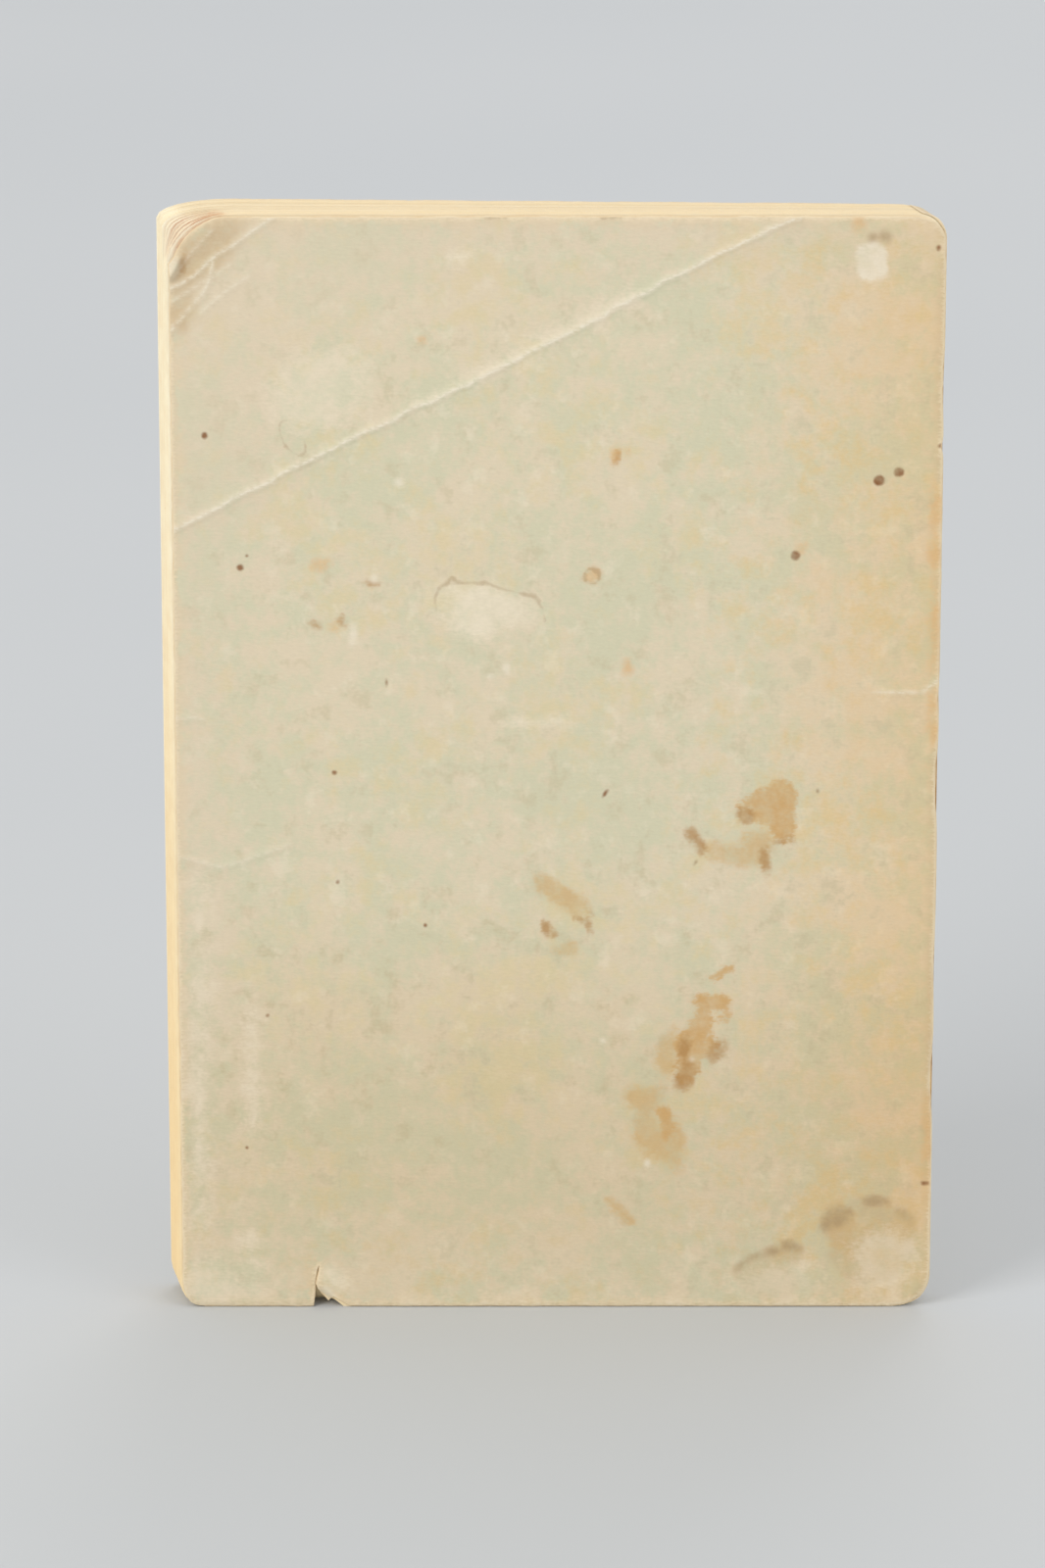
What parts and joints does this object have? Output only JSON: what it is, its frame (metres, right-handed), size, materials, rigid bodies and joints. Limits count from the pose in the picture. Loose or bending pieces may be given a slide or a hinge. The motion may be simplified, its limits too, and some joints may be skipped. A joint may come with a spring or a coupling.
{
  "type": "paperback book",
  "caption": "Worn blank paperback standing upright: sewn, slightly fanned leaves in a creased, stained paper wrapper whose two covers open on their spine folds.",
  "frame": {"origin": "under the middle of the whole book, on the surface that its tail stands on", "axes": "+Z from tail to head, +X from fore edge to spine, +Y from back cover to front cover"},
  "size_m": [0.1426, 0.0122, 0.21],
  "materials": {
    "leaf_paper": "matte",
    "cover_paper": "matte",
    "thread": "matte",
    "glue": "matte"
  },
  "bodies": {
    "block": {"page_block": "leaf_paper", "sewing_thread": "thread", "spine_glue": "glue", "spine_wrap": "cover_paper"},
    "back_cover": {"back_cover": "cover_paper"},
    "front_cover": {"front_cover": "cover_paper"}
  },
  "joints": [
    {"name": "back_cover_fold", "type": "hinge", "parent": "block", "child": "back_cover", "pos_m": [0.07128, -0.00598, 0.105], "axis": [0, 0, 1], "range_deg": [0, 180]},
    {"name": "front_cover_fold", "type": "hinge", "parent": "block", "child": "front_cover", "pos_m": [0.06898, 0.00116, 0.105], "axis": [0, 0, -1], "range_deg": [0, 180]}
  ]
}
